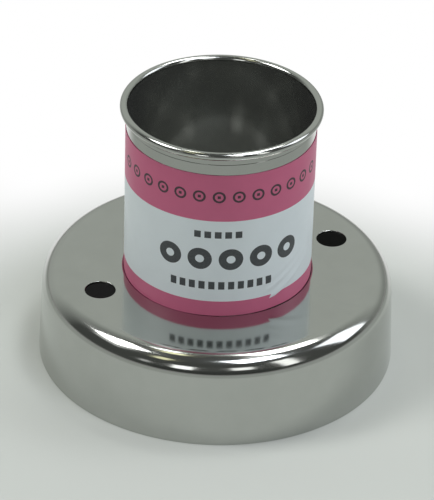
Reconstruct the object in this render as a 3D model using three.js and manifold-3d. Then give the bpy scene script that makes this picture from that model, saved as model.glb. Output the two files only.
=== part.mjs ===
// Doughnut cutter of thin stainless steel. A shallow pressed cup, upside down, cuts the outside of the ring.
// A tube through its middle is the grip above the plate and cuts the hole below it. A paper band is glued
// round the grip.
// Millimetres, +Z up. The origin is on the axis, in the plane of the cutting edges.

import * as THREE from "three";
import { mergeVertices } from "three/addons/utils/BufferGeometryUtils.js";
import Module from "manifold-3d";

// Outer cutter
const EDGE_RADIUS = 41; // outside of the skirt at its cutting edge
const PLATE_HEIGHT = 21.75; // top face of the plate
const SKIRT_TAPER = 2.4; // degrees that the skirt leans outwards on its way down
const SHOULDER_RADIUS = 5.1; // outside of the bend between plate and skirt
const CUP_SHEET = 0.5; // sheet thickness

// Collar that is turned down round the hole in the plate
const COLLAR_BEND = 0.3; // inside of the bend between plate and collar
const COLLAR_LENGTH = 2.5; // straight length under that bend
const COLLAR_CLEARANCE = 0.1; // hairline round the tube, closed by the spot welds

// Vent holes in the plate
const VENT_RADIUS = 3.5;
const VENT_COUNT = 2;
const VENT_AZIMUTH = 25; // degrees from +X to the first hole
const VENT_OFFSET = 0.5; // how far the holes lie outside the middle of the plate's flat ring

// Centre tube
const TUBE_RADIUS = 21.35; // outside
const TUBE_WALL = 0.4;
const OVERALL_HEIGHT = 64.4; // top of the curled rim
const CURL_BORE = 0.53; // radius of the hollow inside the curl
const CURL_GAP = 0.35; // between the curl's end and the tube

// Paper band
const LABEL_THICKNESS = 0.1;
const LABEL_GLUE = 0.05; // glue between paper and steel
const LABEL_LIFT = 0.05; // between the plate and the band's lower edge
const LABEL_MARGIN = 4.15; // bare steel between the band and the curl

// Facets
const TURN_FACETS = 72;
const SHOULDER_FACETS = 6;
const COLLAR_FACETS = 3;
const CURL_FACETS = 10;
const VENT_FACETS = 24;

const STEEL = { color: 0xc5c7c4, metalness: 1, roughness: 0.12 };
const PAPER = { color: 0xdfe4e6, metalness: 0, roughness: 0.6 };

const wasm = await Module();
wasm.setup();

// Points of an arc in the half plane of radius and height, both ends included
function arc(center, radius, startAngle, endAngle, facets) {
  const points = [];
  for (let i = 0; i <= facets; i += 1) {
    const angle = startAngle + ((endAngle - startAngle) * i) / facets;
    const reach = new THREE.Vector2(Math.cos(angle), Math.sin(angle)).multiplyScalar(radius);
    points.push(reach.add(center));
  }
  return points;
}

// Solid of revolution about +Z from an outline that runs clockwise, radius to the right and height up
function turned(outline) {
  const closed = [...outline, outline[0].clone()].reverse();
  return new THREE.LatheGeometry(closed, TURN_FACETS).rotateX(Math.PI / 2);
}

function toSolid(geometry) {
  const bare = geometry.clone();
  bare.deleteAttribute("normal");
  bare.deleteAttribute("uv");
  const merged = mergeVertices(bare);
  const vertProperties = new Float32Array(merged.attributes.position.array);
  const triVerts = new Uint32Array(merged.index.array);
  return new wasm.Manifold(new wasm.Mesh({ numProp: 3, vertProperties, triVerts }));
}

function toGeometry(solid) {
  const mesh = solid.getMesh();
  const geometry = new THREE.BufferGeometry();
  geometry.setAttribute("position", new THREE.BufferAttribute(mesh.vertProperties, 3));
  geometry.setIndex(new THREE.BufferAttribute(mesh.triVerts, 1));
  geometry.computeVertexNormals();
  return geometry;
}

function named(name, geometry, finish) {
  const mesh = new THREE.Mesh(geometry, new THREE.MeshStandardMaterial(finish));
  mesh.name = name;
  return mesh;
}

// Centre of the shoulder's bend, which touches the plate's top face and the leaning skirt
function shoulderCenter() {
  const lean = THREE.MathUtils.degToRad(SKIRT_TAPER);
  const height = PLATE_HEIGHT - SHOULDER_RADIUS;
  const reach = (SHOULDER_RADIUS + height * Math.sin(lean)) / Math.cos(lean);
  return new THREE.Vector2(EDGE_RADIUS - reach, height);
}

// Centre of the collar's bend, under the plate's top face
function collarCenter() {
  const bend = COLLAR_BEND + CUP_SHEET;
  return new THREE.Vector2(TUBE_RADIUS + COLLAR_CLEARANCE + bend, PLATE_HEIGHT - bend);
}

function cupOutline() {
  const lean = THREE.MathUtils.degToRad(SKIRT_TAPER);
  const up = Math.PI / 2;
  const shoulder = shoulderCenter();
  const collar = collarCenter();
  const collarEnd = collar.y - COLLAR_LENGTH;
  const collarInside = collar.x - COLLAR_BEND - CUP_SHEET;
  const edgeInside = EDGE_RADIUS - CUP_SHEET / Math.cos(lean);
  return [
    new THREE.Vector2(collarInside, collarEnd),
    ...arc(collar, COLLAR_BEND + CUP_SHEET, Math.PI, up, COLLAR_FACETS),
    ...arc(shoulder, SHOULDER_RADIUS, up, lean, SHOULDER_FACETS),
    new THREE.Vector2(EDGE_RADIUS, 0),
    new THREE.Vector2(edgeInside, 0),
    ...arc(shoulder, SHOULDER_RADIUS - CUP_SHEET, lean, up, SHOULDER_FACETS),
    ...arc(collar, COLLAR_BEND, up, Math.PI, COLLAR_FACETS),
    new THREE.Vector2(collarInside + CUP_SHEET, collarEnd),
  ];
}

// Cutting body of one vent hole, longer than the plate is thick on both sides
function ventPunch(index) {
  const flatMiddle = (collarCenter().x + shoulderCenter().x) / 2;
  const azimuth = THREE.MathUtils.degToRad(VENT_AZIMUTH + (360 * index) / VENT_COUNT);
  const along = new THREE.Vector2(flatMiddle + VENT_OFFSET, 0).rotateAround(new THREE.Vector2(), azimuth);
  const length = SHOULDER_RADIUS;
  const punch = new THREE.CylinderGeometry(VENT_RADIUS, VENT_RADIUS, length, VENT_FACETS);
  punch.rotateX(Math.PI / 2).rotateZ(azimuth);
  return punch.translate(along.x, along.y, PLATE_HEIGHT - CUP_SHEET / 2);
}

function outerCutter() {
  let cup = toSolid(turned(cupOutline()));
  for (let i = 0; i < VENT_COUNT; i += 1) {
    cup = cup.subtract(toSolid(ventPunch(i)));
  }
  return named("outer_cutter", toGeometry(cup), STEEL);
}

// Outside radius of the curl, which grows out of the tube's inner face
function curlRadius() {
  return CURL_BORE + TUBE_WALL;
}

function tubeOutline() {
  const inside = TUBE_RADIUS - TUBE_WALL;
  const roll = curlRadius();
  const center = new THREE.Vector2(inside + roll, OVERALL_HEIGHT - roll);
  const end = -Math.acos((CURL_GAP + TUBE_WALL) / roll - 1);
  return [
    new THREE.Vector2(inside, 0),
    ...arc(center, roll, Math.PI, end, CURL_FACETS),
    ...arc(center, CURL_BORE, end, Math.PI, CURL_FACETS),
    new THREE.Vector2(TUBE_RADIUS, 0),
  ];
}

function centerTube() {
  return named("center_tube", turned(tubeOutline()), STEEL);
}

function labelWrap() {
  const inside = TUBE_RADIUS + LABEL_GLUE;
  const outside = inside + LABEL_THICKNESS;
  const bottom = PLATE_HEIGHT + LABEL_LIFT;
  const top = OVERALL_HEIGHT - 2 * curlRadius() - LABEL_MARGIN;
  const outline = [
    new THREE.Vector2(inside, bottom),
    new THREE.Vector2(inside, top),
    new THREE.Vector2(outside, top),
    new THREE.Vector2(outside, bottom),
  ];
  return named("label_wrap", turned(outline), PAPER);
}

const doughnutCutter = new THREE.Group();
doughnutCutter.add(outerCutter(), centerTube(), labelWrap());

export default doughnutCutter;
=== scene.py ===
import math

import bpy
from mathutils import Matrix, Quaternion, Vector


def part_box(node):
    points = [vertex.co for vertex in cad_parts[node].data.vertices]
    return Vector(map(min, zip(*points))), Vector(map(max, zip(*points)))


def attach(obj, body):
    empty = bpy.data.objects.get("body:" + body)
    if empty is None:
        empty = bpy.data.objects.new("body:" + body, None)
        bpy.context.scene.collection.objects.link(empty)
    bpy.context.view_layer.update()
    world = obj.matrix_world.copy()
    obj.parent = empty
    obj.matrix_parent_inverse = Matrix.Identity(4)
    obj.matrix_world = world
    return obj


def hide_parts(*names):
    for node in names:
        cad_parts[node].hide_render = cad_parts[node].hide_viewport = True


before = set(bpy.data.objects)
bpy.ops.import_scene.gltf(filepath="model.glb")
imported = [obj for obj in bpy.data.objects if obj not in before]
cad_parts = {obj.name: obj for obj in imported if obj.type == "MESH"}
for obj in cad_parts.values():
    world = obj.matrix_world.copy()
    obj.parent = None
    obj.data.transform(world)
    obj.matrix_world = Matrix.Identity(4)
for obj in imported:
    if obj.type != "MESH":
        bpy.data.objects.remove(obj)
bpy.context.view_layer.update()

MM = 0.001

# Sizes that the frame gives
cup_low, cup_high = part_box("outer_cutter")
tube_low, tube_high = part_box("center_tube")
label_low, label_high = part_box("label_wrap")
EDGE_RADIUS = cup_high.x
PLATE_TOP = cup_high.z
RIM_TOP = tube_high.z
LABEL_RADIUS = label_high.x
LABEL_BOTTOM = label_low.z
LABEL_TOP = label_high.z

# Pressed cup
CUP_SHEET = 0.5 * MM
SKIRT_LEAN = math.radians(2.4)
SHOULDER_RADIUS = 5.1 * MM
COLLAR_BEND = 0.1 * MM
COLLAR_LENGTH = 2.5 * MM
COLLAR_CLEARANCE = 0.1 * MM
SHEARED_CORNER = 0.1 * MM       # rounding left on a sheared edge

# Vent holes
VENT_RADIUS = 3.5 * MM
VENT_COUNT = 2
VENT_AZIMUTH = math.radians(25)
VENT_OFFSET = 0.5 * MM          # how far they lie outside the middle of the plate's flat ring
VENT_ROLL = 0.1 * MM            # rounding that the punch leaves on the upper edge
PUNCH_REACH = 4 * CUP_SHEET     # length of the punch above and below the plate's top face

# Paper band and tube
PAPER = 0.1 * MM
GLUE = 0.05 * MM
TUBE_RADIUS = LABEL_RADIUS - PAPER - GLUE
TUBE_WALL = 0.4 * MM
CURL_BORE = 0.53 * MM
CURL_GAP = 0.35 * MM
NECK_FOOT = 60.85 * MM          # where the wall starts to draw in under the curl
NECK_RISE = 0.2 * MM
NECK_DEPTH = 0.06 * MM

# Steps round the axis and along the bends
AROUND = 288
SHOULDER_STEPS = 28
SMALL_STEPS = 6
CURL_STEPS = 36
NECK_STEPS = 8

# Paper band: u runs along the paper from the front's middle to the right, v is the height
PAPER_STEP = 0.4 * MM
OVERLAP = 7 * MM                # end of the paper glued over its start, at the back
OVERLAP_RISE = 1.3 * PAPER
OVERLAP_RAMP = 2 * MM           # length over which that end climbs
FOLD_U, FOLD_V = 12.9 * MM, 24.6 * MM   # where the crooked folds leave the lower band
FOLD_SLOPE = math.radians(25)
FOLD_LENGTH = 22 * MM
FOLD_LEAD, FOLD_START = 1 * MM, 2 * MM  # how far before that spot they start, and how soon they are full
FOLDS = (                       # distance above the first, height, breadth below and above the crest
    (0, 0.26 * MM, 0.35 * MM, 1.1 * MM),
    (2.6 * MM, 0.20 * MM, 0.6 * MM, 0.6 * MM),
    (4.7 * MM, 0.16 * MM, 0.7 * MM, 0.7 * MM),
)
RIPPLE_DEPTH = 0.012 * MM
RIPPLE_U, RIPPLE_V, RIPPLE_WANDER = 2.9 * MM, 7 * MM, 3
TOP_WAVE_DEPTH, TOP_WAVE_U = 0.06 * MM, 17 * MM
EDGE_LIFT, EDGE_LIFT_U, EDGE_LIFT_WIDTH = 0.12 * MM, 14.8 * MM, 2.6 * MM
FOOT_DIP_RIGHT, FOOT_DIP_LEFT = 0.12 * MM, 0.25 * MM    # the paper's foot sinks into the plate's groove
FOOT_DIP_U, FOOT_DIP_RUN = 2 * MM, 14 * MM
CREASE = math.radians(50)       # edges sharper than this stay sharp

# Print on the paper, in u and v
BAND_BORDER_UPPER = 46.58 * MM  # pink above
BAND_BORDER_LOWER = 25.5 * MM   # pink below
NICK_WIDTH, NICK_DEPTH = 3.3 * MM, 1.0 * MM     # bare wedge that the first fold opens in the lower band
NICK_LEAN = 0.5
RING_ROWS = (                   # middle, height, pitch, count, radius, stroke
    (0, 52.8 * MM, 4.4 * MM, 13, 1.45 * MM, 0.5 * MM),
    (3 * MM, 36.6 * MM, 7 * MM, 5, 2.75 * MM, 1.75 * MM),
)
BAR_ROWS = (                    # middle, height, pitch, count, width, height of a bar
    (0, 52.8 * MM, 4.4 * MM, 13, 0.7 * MM, 0.7 * MM),
    (0, 43 * MM, 2.3 * MM, 5, 1.5 * MM, 1.7 * MM),
    (1 * MM, 29.7 * MM, 2.2 * MM, 11, 1.4 * MM, 2.0 * MM),
)

# Polished steel. Textures are scale, detail and roughness of their noise.
STEEL_BRIGHT = (0.53, 0.54, 0.515)
STEEL_DULL = (0.47, 0.48, 0.455)
# painted shade: the tube's inner face is coloured darker than its outside
STEEL_INSIDE_SHADED = (0.41, 0.42, 0.40)
INSIDE_MATT = 0.085             # share of dull film left on the inside of the tube
INSIDE_CLEARER = 0.2            # how much less haze the inside has, where no hand reaches
POLISHING_LINES = 2600, 3, 0.7
HAZE = 140, 4, 0.6
SHEET_WAVES = 75, 1, 0.4
ROUGH_CLEAR, ROUGH_HAZY = 0.08, 0.16
ROUGH_LINES = 0.02
BUFFED_ONE_WAY = 0.35
WAVE_DEPTH = 0.012 * MM
LINE_DEPTH = 0.00015 * MM

# Printed paper
PAPER_WHITE = (0.775, 0.845, 0.875)
BAND_PINK = (0.62, 0.135, 0.258)
INK = (0.018, 0.022, 0.026)
PAPER_FIBRES = 2200, 4, 0.7
PAPER_CLOUDS = 160, 3, 0.6
CLOUDED_WHITE, CLOUDED_PINK = 0.93, 0.88        # how much darker the clouds are
INK_THIN = 0.9                  # how much ink covers where it is thinnest
ROUGH_COATED, ROUGH_BARE = 0.38, 0.52
FIBRE_DEPTH = 0.006 * MM


# Outlines: lists of (radius, height), running clockwise

def arc(center, radius, start, end, steps):
    """Points of an arc, both ends included."""
    angles = [start + (end - start) * i / steps for i in range(steps + 1)]
    return [(center[0] + radius * math.cos(a), center[1] + radius * math.sin(a)) for a in angles]


def sheared_end(outside, inside, height):
    """A sheet's lower edge from its outer to its inner face, with both corners eased."""
    lift = height + SHEARED_CORNER
    outer = arc((outside - SHEARED_CORNER, lift), SHEARED_CORNER, 0, -math.pi / 2, SMALL_STEPS)
    inner = arc((inside + SHEARED_CORNER, lift), SHEARED_CORNER, -math.pi / 2, -math.pi, SMALL_STEPS)
    return outer + inner


def shoulder_center():
    height = PLATE_TOP - SHOULDER_RADIUS
    reach = (SHOULDER_RADIUS + height * math.sin(SKIRT_LEAN)) / math.cos(SKIRT_LEAN)
    return EDGE_RADIUS - reach, height


def collar_center():
    bend = COLLAR_BEND + CUP_SHEET
    return TUBE_RADIUS + COLLAR_CLEARANCE + bend, PLATE_TOP - bend


def cup_outline():
    up = math.pi / 2
    shoulder, collar = shoulder_center(), collar_center()
    collar_inside = TUBE_RADIUS + COLLAR_CLEARANCE
    edge_inside = EDGE_RADIUS - CUP_SHEET / math.cos(SKIRT_LEAN)
    return (
        arc(collar, COLLAR_BEND + CUP_SHEET, math.pi, up, SMALL_STEPS)
        + arc(shoulder, SHOULDER_RADIUS, up, SKIRT_LEAN, SHOULDER_STEPS)
        + sheared_end(EDGE_RADIUS, edge_inside, 0)
        + arc(shoulder, SHOULDER_RADIUS - CUP_SHEET, SKIRT_LEAN, up, SHOULDER_STEPS)
        + arc(collar, COLLAR_BEND, up, math.pi, SMALL_STEPS)
        + sheared_end(collar_inside + CUP_SHEET, collar_inside, collar[1] - COLLAR_LENGTH)
    )


def neck_outline():
    """The tube's outer face from the drawn-in neck down to its full radius."""
    points = []
    for i in range(NECK_STEPS + 1):
        share = i / NECK_STEPS
        drawn_in = NECK_DEPTH * (1 + math.cos(math.pi * share)) / 2
        points.append((TUBE_RADIUS - drawn_in, NECK_FOOT + NECK_RISE * (1 - share)))
    return points


def tube_outline():
    inside = TUBE_RADIUS - TUBE_WALL
    roll = CURL_BORE + TUBE_WALL
    center = (inside + roll, RIM_TOP - roll)
    end = -math.acos((CURL_GAP + TUBE_WALL) / roll - 1)
    return (
        arc(center, roll, math.pi, end, CURL_STEPS)
        + arc(center, CURL_BORE, end, math.pi, CURL_STEPS)
        + neck_outline()
        + sheared_end(TUBE_RADIUS, inside, 0)
    )


def punch_outline():
    """Half the section of the punch: straight below, and flared where it rounds the plate's upper edge."""
    wide = VENT_RADIUS + VENT_ROLL
    low = PLATE_TOP - PUNCH_REACH
    high = PLATE_TOP + PUNCH_REACH
    flare = arc((wide, PLATE_TOP - VENT_ROLL), VENT_ROLL, math.pi, math.pi / 2, SMALL_STEPS)
    return [(0, low), (0, high), (wide, high)] + flare[::-1] + [(VENT_RADIUS, low)]


# Geometry Nodes

def new_tree(name, inputs):
    """A geometry tree with named inputs, and its input and output nodes."""
    tree = bpy.data.node_groups.new(name, "GeometryNodeTree")
    tree.interface.new_socket("Geometry", in_out="INPUT", socket_type="NodeSocketGeometry")
    for label, kind in inputs:
        tree.interface.new_socket(label, in_out="INPUT", socket_type=kind)
    tree.interface.new_socket("Geometry", in_out="OUTPUT", socket_type="NodeSocketGeometry")
    return tree, tree.nodes.new("NodeGroupInput"), tree.nodes.new("NodeGroupOutput")


def add_node(tree, kind, settings=None, **links):
    """A node of that kind. Links go by input name, with _ for a space; a plain value sets the input."""
    node = tree.nodes.new(kind)
    for key, value in (settings or {}).items():
        setattr(node, key, value)
    for key, value in links.items():
        feed(tree, node.inputs[key.replace("_", " ")], value)
    return node


def feed(tree, socket, value):
    """Links a socket to an input, or sets the input to a plain value."""
    if isinstance(value, bpy.types.NodeSocket):
        tree.links.new(value, socket)
    else:
        socket.default_value = value


def calc(tree, operation, *values):
    """A math node's result. Each value is a number or a socket."""
    node = add_node(tree, "ShaderNodeMath", {"operation": operation})
    for socket, value in zip(node.inputs, values):
        feed(tree, socket, value)
    return node.outputs[0]


def finish_tree(tree, shape, given, result):
    """Ends a tree in plain geometry with its finish."""
    real = add_node(tree, "GeometryNodeRealizeInstances", Geometry=shape)
    finish = given.outputs["Finish"]
    painted = add_node(tree, "GeometryNodeSetMaterial", Geometry=real.outputs[0], Material=finish)
    tree.links.new(painted.outputs[0], result.inputs[0])


def turning_tree():
    """Turns an outline, drawn in radius and height, about the axis."""
    inputs = [
        ("Working Radius", "NodeSocketFloat"),
        ("Steps Around", "NodeSocketInt"),
        ("Finish", "NodeSocketMaterial"),
    ]
    tree, given, result = new_tree("turned_about_axis", inputs)
    working = given.outputs["Working Radius"]
    shift = add_node(tree, "ShaderNodeCombineXYZ", X=calc(tree, "MULTIPLY", working, -1))
    laid = add_node(
        tree,
        "GeometryNodeTransform",
        Geometry=given.outputs["Geometry"],
        Translation=shift.outputs[0],
        Rotation=(math.pi / 2, 0, 0),
    )
    outline = add_node(tree, "GeometryNodeMeshToCurve", Mesh=laid.outputs[0])
    circle = add_node(
        tree, "GeometryNodeCurvePrimitiveCircle", Resolution=given.outputs["Steps Around"], Radius=working
    )
    upright = add_node(tree, "GeometryNodeSetCurveNormal", {"mode": "Z_UP"}, Curve=circle.outputs[0])
    swept = add_node(
        tree, "GeometryNodeCurveToMesh", Curve=upright.outputs[0], Profile_Curve=outline.outputs[0]
    )
    smooth = add_node(tree, "GeometryNodeSetShadeSmooth", Geometry=swept.outputs[0])
    finish_tree(tree, smooth.outputs[0], given, result)
    return tree


def punch_places(tree, given):
    """Evenly spaced points round the axis, one for each hole."""
    index = add_node(tree, "GeometryNodeInputIndex").outputs[0]
    share = calc(tree, "DIVIDE", index, given.outputs["Holes"])
    azimuth = calc(tree, "MULTIPLY_ADD", share, 2 * math.pi, given.outputs["First Azimuth"])
    reach = add_node(tree, "ShaderNodeCombineXYZ", X=given.outputs["Pitch Radius"])
    place = add_node(
        tree, "ShaderNodeVectorRotate", {"rotation_type": "Z_AXIS"}, Vector=reach.outputs[0], Angle=azimuth
    )
    spots = add_node(
        tree, "GeometryNodePoints", Count=given.outputs["Holes"], Position=place.outputs[0]
    )
    return spots.outputs[0]


def punching_tree():
    """Punches evenly spaced holes through a plate."""
    inputs = [
        ("Punch", "NodeSocketObject"),
        ("Holes", "NodeSocketInt"),
        ("Pitch Radius", "NodeSocketFloat"),
        ("First Azimuth", "NodeSocketFloat"),
        ("Finish", "NodeSocketMaterial"),
    ]
    tree, given, result = new_tree("punched_holes", inputs)
    tool = add_node(tree, "GeometryNodeObjectInfo", Object=given.outputs["Punch"])
    tools = add_node(
        tree,
        "GeometryNodeInstanceOnPoints",
        Points=punch_places(tree, given),
        Instance=tool.outputs["Geometry"],
    )
    real = add_node(tree, "GeometryNodeRealizeInstances", Geometry=tools.outputs[0])
    cut = {"operation": "DIFFERENCE", "solver": "EXACT"}
    punched = add_node(
        tree, "GeometryNodeMeshBoolean", cut, Mesh_1=given.outputs["Geometry"], Mesh_2=real.outputs[0]
    )
    finish_tree(tree, punched.outputs[0], given, result)
    return tree


def add_tree(piece, tree, values):
    """Puts a tree on a piece and sets its named inputs."""
    modifier = piece.modifiers.new(tree.name, "NODES")
    modifier.node_group = tree
    for item in tree.interface.items_tree:
        if item.in_out == "INPUT" and item.name in values:
            modifier[item.identifier] = values[item.name]


def freeze(piece):
    """Keeps a piece's evaluated shape as its plain mesh and drops its modifiers."""
    graph = bpy.context.evaluated_depsgraph_get()
    mesh = bpy.data.meshes.new_from_object(piece.evaluated_get(graph), depsgraph=graph)
    piece.modifiers.clear()
    piece.data = mesh
    mesh.name = piece.name


def add_object(name, data):
    thing = bpy.data.objects.new(name, data)
    bpy.context.scene.collection.objects.link(thing)
    return thing


def outline_object(name, outline):
    """An object whose mesh is a closed outline, radius along X and height along Z."""
    mesh = bpy.data.meshes.new(name)
    points = [(r, 0, z) for r, z in outline]
    edges = [(i, (i + 1) % len(points)) for i in range(len(points))]
    mesh.from_pydata(points, edges, [])
    return add_object(name, mesh)


# Material nodes

def new_material(name):
    material = bpy.data.materials.new(name)
    material.use_nodes = True
    return material, material.node_tree, material.node_tree.nodes["Principled BSDF"]


def blend_colors(tree, factor, first, second):
    """A colour that goes from first to second. Each is a colour or a socket."""
    node = add_node(tree, "ShaderNodeMix", {"data_type": "RGBA"}, Factor=factor)
    for socket, value in zip((node.inputs[6], node.inputs[7]), (first, second)):
        feed(tree, socket, value if isinstance(value, bpy.types.NodeSocket) else (*value, 1))
    return node.outputs[2]


def noise(tree, vector, scale, detail, roughness):
    node = add_node(
        tree, "ShaderNodeTexNoise", Vector=vector, Scale=scale, Detail=detail, Roughness=roughness
    )
    return node.outputs["Fac"]


def spread(tree, value, low, high):
    """Stretches a 0 to 1 value between low and high."""
    return add_node(tree, "ShaderNodeMapRange", Value=value, To_Min=low, To_Max=high).outputs[0]


def smooth_step(tree, value, near, far, low, high):
    """Goes smoothly from low to high while the value goes from near to far."""
    step = add_node(
        tree,
        "ShaderNodeMapRange",
        {"interpolation_type": "SMOOTHSTEP"},
        Value=value,
        From_Min=near,
        From_Max=far,
        To_Min=low,
        To_Max=high,
    )
    return step.outputs[0]


def bump(tree, height, distance, below=None):
    node = add_node(tree, "ShaderNodeBump", Height=height, Distance=distance)
    if below is not None:
        tree.links.new(below, node.inputs["Normal"])
    return node.outputs[0]


# Polished steel

def axis_distance(tree, parts):
    """Distance from the tube's axis."""
    flat = add_node(tree, "ShaderNodeCombineXYZ", X=parts["X"], Y=parts["Y"])
    radius = add_node(tree, "ShaderNodeVectorMath", {"operation": "LENGTH"})
    tree.links.new(flat.outputs[0], radius.inputs[0])
    return radius.outputs["Value"]


def inside_tube(tree, radius, height):
    """1 on the tube's inner face, below the curl."""
    inside = calc(tree, "LESS_THAN", radius, TUBE_RADIUS - TUBE_WALL / 2)
    below_rim = calc(tree, "LESS_THAN", height, RIM_TOP - CURL_BORE - TUBE_WALL)
    return calc(tree, "MULTIPLY", inside, below_rim)


def lessened(tree, mask, share):
    """1 outside the mask, and less by that share inside it."""
    return calc(tree, "SUBTRACT", 1, calc(tree, "MULTIPLY", mask, share))


def polished_steel():
    """Buffed stainless steel: faint rings of polishing lines, a little haze and slow waves in the sheet."""
    material, tree, surface = new_material("polished_steel")
    here = tree.nodes.new("ShaderNodeTexCoord").outputs["Object"]
    parts = add_node(tree, "ShaderNodeSeparateXYZ", Vector=here).outputs
    radius = axis_distance(tree, parts)
    rings = add_node(tree, "ShaderNodeCombineXYZ", X=radius, Y=parts["Z"])
    lines = noise(tree, rings.outputs[0], *POLISHING_LINES)
    haze = noise(tree, here, *HAZE)
    waves = noise(tree, here, *SHEET_WAVES)
    inside = inside_tube(tree, radius, parts["Z"])
    color = blend_colors(tree, haze, STEEL_BRIGHT, STEEL_DULL)
    # painted shade: darker steel colour on the tube's inner face
    tree.links.new(blend_colors(tree, inside, color, STEEL_INSIDE_SHADED), surface.inputs["Base Color"])
    tree.links.new(lessened(tree, inside, INSIDE_MATT), surface.inputs["Metallic"])
    hazed = spread(tree, haze, ROUGH_CLEAR, ROUGH_HAZY)
    buffed = calc(tree, "ADD", hazed, spread(tree, lines, -ROUGH_LINES, ROUGH_LINES))
    rough = calc(tree, "MULTIPLY", buffed, lessened(tree, inside, INSIDE_CLEARER))
    tree.links.new(rough, surface.inputs["Roughness"])
    surface.inputs["Anisotropic"].default_value = BUFFED_ONE_WAY
    ripple = bump(tree, waves, WAVE_DEPTH)
    tree.links.new(bump(tree, lines, LINE_DEPTH, ripple), surface.inputs["Normal"])
    return material


# Printed paper

def repeated(tree, along, middle, pitch, count):
    """Distance from the nearest of evenly spaced marks, which lie evenly about the middle."""
    first = middle + (pitch / 2 if count % 2 == 0 else 0)
    return calc(tree, "WRAP", calc(tree, "SUBTRACT", along, first), pitch / 2, -pitch / 2)


def within(tree, value, middle, reach):
    return calc(tree, "COMPARE", value, middle, reach)


def ring_row(tree, u, v, middle, height, pitch, count, radius, stroke):
    """A row of plain rings."""
    across = calc(tree, "POWER", repeated(tree, u, middle, pitch, count), 2)
    up = calc(tree, "POWER", calc(tree, "SUBTRACT", v, height), 2)
    distance = calc(tree, "SQRT", calc(tree, "ADD", across, up))
    ring = within(tree, distance, radius - stroke / 2, stroke / 2)
    return calc(tree, "MULTIPLY", ring, within(tree, u, middle, pitch * count / 2))


def bar_row(tree, u, v, middle, height, pitch, count, width, tall):
    """A row of plain bars."""
    across = repeated(tree, u, middle, pitch, count)
    bar = calc(tree, "MULTIPLY", within(tree, across, 0, width / 2), within(tree, v, height, tall / 2))
    return calc(tree, "MULTIPLY", bar, within(tree, u, middle, pitch * count / 2))


def printed_marks(tree, u, v):
    """Plain rings and bars in dark ink."""
    rows = [ring_row(tree, u, v, *row) for row in RING_ROWS]
    rows += [bar_row(tree, u, v, *row) for row in BAR_ROWS]
    marks = rows[0]
    for row in rows[1:]:
        marks = calc(tree, "MAXIMUM", marks, row)
    return marks


def pink_bands(tree, u, v):
    """Where the paper is pink: above the upper border and below the lower one, less the fold's bare wedge."""
    upper = calc(tree, "GREATER_THAN", v, BAND_BORDER_UPPER)
    lean = calc(tree, "MULTIPLY", calc(tree, "SUBTRACT", v, BAND_BORDER_LOWER), NICK_LEAN)
    past = calc(tree, "SUBTRACT", calc(tree, "SUBTRACT", u, FOLD_U), lean)
    wedge = spread(tree, calc(tree, "DIVIDE", past, NICK_WIDTH), NICK_DEPTH, 0)
    wedge = calc(tree, "MULTIPLY", wedge, calc(tree, "GREATER_THAN", past, 0))
    lower = calc(tree, "LESS_THAN", calc(tree, "ADD", v, wedge), BAND_BORDER_LOWER)
    return calc(tree, "MAXIMUM", upper, lower)


def darker(color, share):
    return tuple(share * part for part in color)


def printed_paper():
    """Thin coated paper with two pink bands and plain marks, printed from its own u and v."""
    material, tree, surface = new_material("printed_paper")
    print_map = add_node(tree, "ShaderNodeUVMap", {"uv_map": "print"})
    parts = add_node(tree, "ShaderNodeSeparateXYZ", Vector=print_map.outputs[0])
    u, v = parts.outputs["X"], parts.outputs["Y"]
    here = tree.nodes.new("ShaderNodeTexCoord").outputs["Object"]
    fibres = noise(tree, here, *PAPER_FIBRES)
    clouds = noise(tree, here, *PAPER_CLOUDS)
    white = blend_colors(tree, clouds, PAPER_WHITE, darker(PAPER_WHITE, CLOUDED_WHITE))
    pink = blend_colors(tree, clouds, BAND_PINK, darker(BAND_PINK, CLOUDED_PINK))
    color = blend_colors(tree, pink_bands(tree, u, v), white, pink)
    inked = calc(tree, "MULTIPLY", printed_marks(tree, u, v), spread(tree, fibres, INK_THIN, 1))
    tree.links.new(blend_colors(tree, inked, color, INK), surface.inputs["Base Color"])
    tree.links.new(spread(tree, clouds, ROUGH_COATED, ROUGH_BARE), surface.inputs["Roughness"])
    tree.links.new(bump(tree, fibres, FIBRE_DEPTH), surface.inputs["Normal"])
    return material


# Steel pieces

def turned_piece(name, outline, finish):
    piece = outline_object(name, outline)
    values = {"Working Radius": TUBE_RADIUS, "Steps Around": AROUND, "Finish": finish}
    add_tree(piece, TURNING, values)
    return piece


def make_cup(finish):
    cup = turned_piece("pressed_cup", cup_outline(), finish)
    punch = turned_piece("vent_punch", punch_outline(), finish)
    freeze(punch)
    flat_middle = (collar_center()[0] + shoulder_center()[0]) / 2
    values = {
        "Punch": punch,
        "Holes": VENT_COUNT,
        "Pitch Radius": flat_middle + VENT_OFFSET,
        "First Azimuth": VENT_AZIMUTH,
        "Finish": finish,
    }
    add_tree(cup, PUNCHING, values)
    even = cup.modifiers.new("even_shading", "WEIGHTED_NORMAL")
    even.weight = 100
    freeze(cup)
    bpy.data.objects.remove(punch)
    return cup


def make_tube(finish):
    tube = turned_piece("rolled_tube", tube_outline(), finish)
    freeze(tube)
    return tube


# Paper band

def bell(x):
    return math.exp(-x * x)


def ease(x):
    """0 below 0, 1 above 1, smooth between."""
    x = min(max(x, 0), 1)
    return x * x * (3 - 2 * x)


def overlap_rise(u):
    end = math.pi * TUBE_RADIUS
    return OVERLAP_RISE * ease((u - end + OVERLAP_RAMP) / OVERLAP_RAMP)


def fold_rise(u, v):
    """Crooked folds that run up to the right and die out."""
    along = (u - FOLD_U) * math.cos(FOLD_SLOPE) + (v - FOLD_V) * math.sin(FOLD_SLOPE)
    across = (v - FOLD_V) * math.cos(FOLD_SLOPE) - (u - FOLD_U) * math.sin(FOLD_SLOPE)
    held = ease((along + FOLD_LEAD) / FOLD_START) * ease((FOLD_LENGTH - along) / FOLD_LENGTH)
    rise = 0
    for offset, height, below, above in FOLDS:
        breadth = below if across < offset else above
        rise += height * bell((across - offset) / breadth)
    return held * rise


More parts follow.
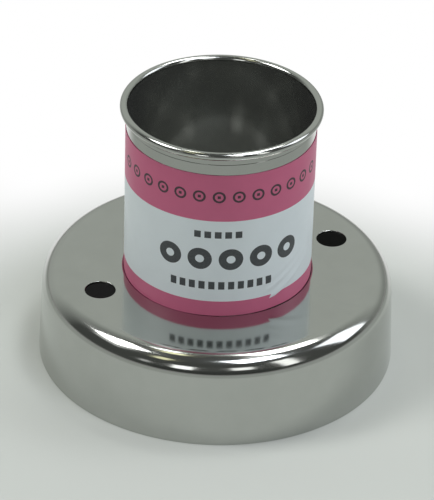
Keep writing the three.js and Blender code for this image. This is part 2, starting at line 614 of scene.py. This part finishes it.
def ripple_rise(u, v):
    wander = RIPPLE_WANDER * math.sin(v / RIPPLE_V)
    return RIPPLE_DEPTH * (math.sin(u / RIPPLE_U + wander) + 1)


def paper_bottom(u):
    """Height of the lower edge, with its lifted spot and its dip into the plate's groove."""
    left = ease((FOOT_DIP_U - u) / FOOT_DIP_RUN)
    dip = FOOT_DIP_RIGHT + (FOOT_DIP_LEFT - FOOT_DIP_RIGHT) * left
    return LABEL_BOTTOM - dip + EDGE_LIFT * bell((u - EDGE_LIFT_U) / EDGE_LIFT_WIDTH)


def paper_top(u):
    return LABEL_TOP - TOP_WAVE_DEPTH * (1 + math.sin(u / TOP_WAVE_U))


def paper_spots(columns, rows):
    """Grid of (u, v) over the strip, column by column from its start to its overlapping end."""
    start = -math.pi * TUBE_RADIUS
    end = math.pi * TUBE_RADIUS + OVERLAP
    spots = []
    for i in range(columns + 1):
        u = start + (end - start) * i / columns
        bottom, top = paper_bottom(u), paper_top(u)
        spots += [(u, bottom + (top - bottom) * j / rows) for j in range(rows + 1)]
    return spots


def wound_point(u, v, thickness):
    """Where a spot of the strip lies on the tube, that far outside the glue."""
    azimuth = u / TUBE_RADIUS
    rise = overlap_rise(u) + fold_rise(u, v) + ripple_rise(u, v)
    reach = TUBE_RADIUS + GLUE + rise + thickness
    return reach * math.sin(azimuth), -reach * math.cos(azimuth), v


def paper_border(columns, rows):
    """Numbers of the spots on the strip's border, once round."""
    across = rows + 1
    start = [j for j in range(rows)]
    top = [i * across + rows for i in range(columns)]
    end = [columns * across + j for j in range(rows, 0, -1)]
    bottom = [i * across for i in range(columns, 0, -1)]
    return start + top + end + bottom


def paper_faces(columns, rows):
    """Faces of the outer side, the glued side and the edges between them."""
    across = rows + 1
    back = (columns + 1) * across
    faces = []
    for i in range(columns):
        for j in range(rows):
            a = i * across + j
            b = a + across
            faces.append((a, b, b + 1, a + 1))
            faces.append((back + a, back + a + 1, back + b + 1, back + b))
    border = paper_border(columns, rows)
    for a, b in zip(border, border[1:] + border[:1]):
        faces.append((a, b, back + b, back + a))
    return faces


def make_label(finish):
    """One strip of paper wound round the tube, closed on all sides, with its printed map."""
    columns = round((2 * math.pi * TUBE_RADIUS + OVERLAP) / PAPER_STEP)
    rows = round((LABEL_TOP - LABEL_BOTTOM) / PAPER_STEP)
    spots = paper_spots(columns, rows)
    points = [wound_point(u, v, PAPER) for u, v in spots]
    points += [wound_point(u, v, 0) for u, v in spots]
    mesh = bpy.data.meshes.new("paper_band")
    mesh.from_pydata(points, [], paper_faces(columns, rows))
    print_map = mesh.uv_layers.new(name="print")
    for corner, loop in zip(print_map.data, mesh.loops):
        corner.uv = spots[loop.vertex_index % len(spots)]
    mesh.shade_smooth()
    mesh.set_sharp_from_angle(angle=CREASE)
    mesh.materials.append(finish)
    return add_object("paper_band", mesh)


# Camera

LENS, SENSOR = 237.6, 36
CLIP_START = 0.01
CAMERA_HEIGHT = math.radians(32.5)
CAMERA_DISTANCE = 0.757
CAMERA_PIVOT = Vector((0, 0, 0.025))
CAMERA_AIM = Vector((-0.000178, 0, 0.0255))
CAMERA_ROLL = math.radians(1.64)


def add_camera():
    lens = bpy.data.cameras.new("camera")
    lens.lens = LENS
    lens.sensor_width = SENSOR
    lens.clip_start = CLIP_START
    camera = add_object("camera", lens)
    outwards = Vector((0, -math.cos(CAMERA_HEIGHT), math.sin(CAMERA_HEIGHT)))
    stand = outwards * CAMERA_DISTANCE + CAMERA_PIVOT
    camera.location = stand
    camera.rotation_mode = "QUATERNION"
    roll = Quaternion((0, 0, 1), CAMERA_ROLL)
    camera.rotation_quaternion = (CAMERA_AIM - stand).to_track_quat("-Z", "Y") @ roll
    bpy.context.scene.camera = camera


# Floor, in metres from the tube's axis

AXIS = (0, 0)
FLOOR_HALF = 1.5
FLOOR_ROUGH = 0.8
FLOOR_NEAR = (0.49, 0.512, 0.48)
# painted shade: the floor is coloured darker beyond the fade
FLOOR_FAR_SHADED = (0.365, 0.382, 0.355)
FADE_INSIDE, FADE_OUTSIDE = 0.095, 0.115
STRAY_LIGHT = 0.012                             # reaches the floor everywhere, under the cup too
TUBE_LIGHT_MIDDLE, TUBE_LIGHT_EDGE = 0.14, 0.22     # light on the floor inside the tube
TUBE_LIGHT_INSIDE, TUBE_LIGHT_OUTSIDE = 0.010, 0.020
GLINTS = (                                      # brighter spots there: x, y, reach, strength
    (0.0140, 0.0113, 0.011, 0.75),
    (-0.0171, -0.0056, 0.012, 0.55),
    (0.0127, -0.0127, 0.011, 0.48),
)
POOL_MIDDLE = (0, 0.13)                         # white patch behind the object
POOL_INSIDE, POOL_OUTSIDE = 0.075, 0.14
SHADE_INSIDE, SHADE_OUTSIDE = 0.044, 0.085      # the object's own shade keeps the pool off


def distance_step(tree, here, middle, near, far, low, high):
    """Goes smoothly from low to high between two distances from a point (x, y) on the floor."""
    away = add_node(tree, "ShaderNodeVectorMath", {"operation": "DISTANCE"})
    tree.links.new(here, away.inputs[0])
    away.inputs[1].default_value = (*middle, 0)
    return smooth_step(tree, away.outputs["Value"], near, far, low, high)


def tube_light(tree, here):
    """Light that falls down the tube: a soft ring on the floor and brighter spots."""
    levels = TUBE_LIGHT_MIDDLE, TUBE_LIGHT_EDGE
    light = distance_step(tree, here, AXIS, TUBE_LIGHT_INSIDE, TUBE_LIGHT_OUTSIDE, *levels)
    for x, y, reach, strength in GLINTS:
        light = calc(tree, "MAXIMUM", light, distance_step(tree, here, (x, y), 0, reach, strength, 0))
    bore = distance_step(tree, here, AXIS, TUBE_RADIUS - TUBE_WALL, TUBE_RADIUS, 1, 0)
    return calc(tree, "MULTIPLY", light, bore)


def floor_light(tree, here):
    """How white the floor shines: the pool behind the object, stray light and the light in the tube."""
    pool = distance_step(tree, here, POOL_MIDDLE, POOL_INSIDE, POOL_OUTSIDE, 1, 0)
    open_floor = distance_step(tree, here, AXIS, SHADE_INSIDE, SHADE_OUTSIDE, 0, 1)
    light = calc(tree, "MAXIMUM", calc(tree, "MULTIPLY", pool, open_floor), STRAY_LIGHT)
    return calc(tree, "MAXIMUM", light, tube_light(tree, here))


def seen_directly(tree):
    """1 for the eye and for what shines or lets light through, 0 for the floor's light on other things."""
    path = tree.nodes.new("ShaderNodeLightPath").outputs
    seen = calc(tree, "MAXIMUM", path["Is Camera Ray"], path["Is Glossy Ray"])
    return calc(tree, "MAXIMUM", seen, path["Is Transmission Ray"])


def floor_material():
    """Pale floor with a pool of white behind the object. What shines sees the same pool as the eye."""
    material, tree, surface = new_material("floor")
    surface.inputs["Roughness"].default_value = FLOOR_ROUGH
    here = tree.nodes.new("ShaderNodeTexCoord").outputs["Object"]
    # painted shade: the floor's colour turns darker away from the object
    fade = distance_step(tree, here, AXIS, FADE_INSIDE, FADE_OUTSIDE, 0, 1)
    tree.links.new(blend_colors(tree, fade, FLOOR_NEAR, FLOOR_FAR_SHADED), surface.inputs["Base Color"])
    white = add_node(tree, "ShaderNodeEmission", Strength=1)
    mix = tree.nodes.new("ShaderNodeMixShader")
    tree.links.new(calc(tree, "MULTIPLY", floor_light(tree, here), seen_directly(tree)), mix.inputs[0])
    tree.links.new(surface.outputs[0], mix.inputs[1])
    tree.links.new(white.outputs[0], mix.inputs[2])
    tree.links.new(mix.outputs[0], tree.nodes["Material Output"].inputs[0])
    return material


def add_floor():
    mesh = bpy.data.meshes.new("floor")
    half = FLOOR_HALF
    corners = [(-half, -half, 0), (half, -half, 0), (half, half, 0), (-half, half, 0)]
    mesh.from_pydata(corners, [], [(0, 1, 2, 3)])
    mesh.materials.append(floor_material())
    floor = add_object("floor", mesh)


# Room, by the direction's own x, y and z

ROOM_BEFORE = (0.08, 0.085, 0.08)
ROOM_BEHIND = (0.54, 0.57, 0.535)
ROOM_DARK = (0.02, 0.024, 0.022)
TABLE_PALE = (0.42, 0.42, 0.41)
BEHIND_FROM, BEHIND_TO = 0.15, 0.6              # along y
BEFORE_FROM, BEFORE_TO = -0.9, -0.5             # along y
WALL_LOW, WALL_HIGH = 0.10, 0.45                # along z
WALL_LEFT, WALL_RIGHT = -0.5, 0.7               # along x
DARK_LEFT, DARK_RIGHT = 0.10, 0.42              # how dark the low walls are behind
DARK_BEFORE = 0.55                              # and in front
TABLE_LOW, TABLE_HIGH = 0.02, 0.07              # along z


def front_to_back(tree, along):
    """Room's colour from the dim front to the paler back."""
    ramp = tree.nodes.new("ShaderNodeValToRGB")
    tree.links.new(along, ramp.inputs[0])
    first, last = ramp.color_ramp.elements
    first.position, last.position = BEHIND_FROM, BEHIND_TO
    first.color, last.color = (*ROOM_BEFORE, 1), (*ROOM_BEHIND, 1)
    return ramp.outputs[0]


def add_room():
    """Dim room in front, paler behind, with darker low walls and a pale line of tabletop at the horizon."""
    world = bpy.data.worlds.new("room")
    bpy.context.scene.world = world
    world.use_nodes = True
    tree = world.node_tree
    towards = tree.nodes.new("ShaderNodeTexCoord").outputs["Generated"]
    parts = add_node(tree, "ShaderNodeSeparateXYZ", Vector=towards).outputs
    low = smooth_step(tree, parts["Z"], WALL_LOW, WALL_HIGH, 1, 0)
    behind = smooth_step(tree, parts["Y"], BEHIND_FROM, BEHIND_TO, 0, 1)
    right = smooth_step(tree, parts["X"], WALL_LEFT, WALL_RIGHT, DARK_LEFT, DARK_RIGHT)
    before = smooth_step(tree, parts["Y"], BEFORE_FROM, BEFORE_TO, DARK_BEFORE, 0)
    dark = calc(tree, "MAXIMUM", calc(tree, "MULTIPLY", behind, right), before)
    dark = calc(tree, "MULTIPLY", low, dark)
    walls = blend_colors(tree, dark, front_to_back(tree, parts["Y"]), ROOM_DARK)
    table = smooth_step(tree, parts["Z"], TABLE_LOW, TABLE_HIGH, 1, 0)
    room = blend_colors(tree, table, walls, TABLE_PALE)
    tree.links.new(room, tree.nodes["Background"].inputs[0])


# Lamps

LAMP_DISTANCE = 1.2
WHITE = (1, 1, 1)
WARM = (1, 0.97, 0.62)
COOL = (0.90, 0.93, 1)
LAMPS = (       # name, degrees from the front to the right, degrees up, width and height, watts, colour
    ("left_window", -88.5, 54.5, (0.35, 0.41), 5.7, WHITE),
    ("left_glow", -80, 45, (0.40, 0.36), 0.3, WHITE),
    ("right_window", 97, 33, (0.45, 0.70), 2.5, COOL),
    ("front_panel", 43, 66, (0.46, 0.31), 4.5, COOL),
    ("right_glow", 90, 77, (0.30, 0.16), 0.12, WHITE),
    ("back_panel", 133, 68, (0.36, 0.36), 3, WHITE),
    ("left_strip", -144, 72, (0.10, 0.12), 0.3, WHITE),
    ("top_strip", -109, 78, (0.14, 0.14), 0.16, WARM),
    ("right_slit", 48, 30, (0.20, 0.66), 0.8, WHITE),
    ("front_card", 18, 31, (0.25, 0.25), 0.36, WHITE),
    ("left_card", -20, 28, (0.24, 0.32), 0.55, WHITE),
    ("low_card", -44, 23, (0.13, 0.18), 0.05, WHITE),
    ("high_card", -42, 53, (0.16, 0.20), 0.16, WARM),
)


def add_lamp(name, azimuth, height, size, energy, color):
    a, h = math.radians(azimuth), math.radians(height)
    towards = Vector((math.sin(a) * math.cos(h), -math.cos(a) * math.cos(h), math.sin(h)))
    light = bpy.data.lights.new(name, "AREA")
    light.shape = "RECTANGLE"
    light.size, light.size_y = size
    light.energy = energy
    light.color = color
    lamp = add_object(name, light)
    lamp.location = towards * LAMP_DISTANCE
    lamp.rotation_mode = "QUATERNION"
    lamp.rotation_quaternion = towards.to_track_quat("Z", "Y")


TURNING = turning_tree()
PUNCHING = punching_tree()
steel = polished_steel()
paper = printed_paper()

cup = make_cup(steel)
tube = make_tube(steel)
label = make_label(paper)
for piece, node, slot in (
    (cup, "outer_cutter", "polished_steel"),
    (tube, "center_tube", "polished_steel"),
    (label, "label_wrap", "printed_paper"),
):
    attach(piece, "root")
    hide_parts(node)

add_camera()
add_floor()
add_room()
for lamp in LAMPS:
    add_lamp(*lamp)
bpy.context.scene.view_settings.view_transform = "Standard"
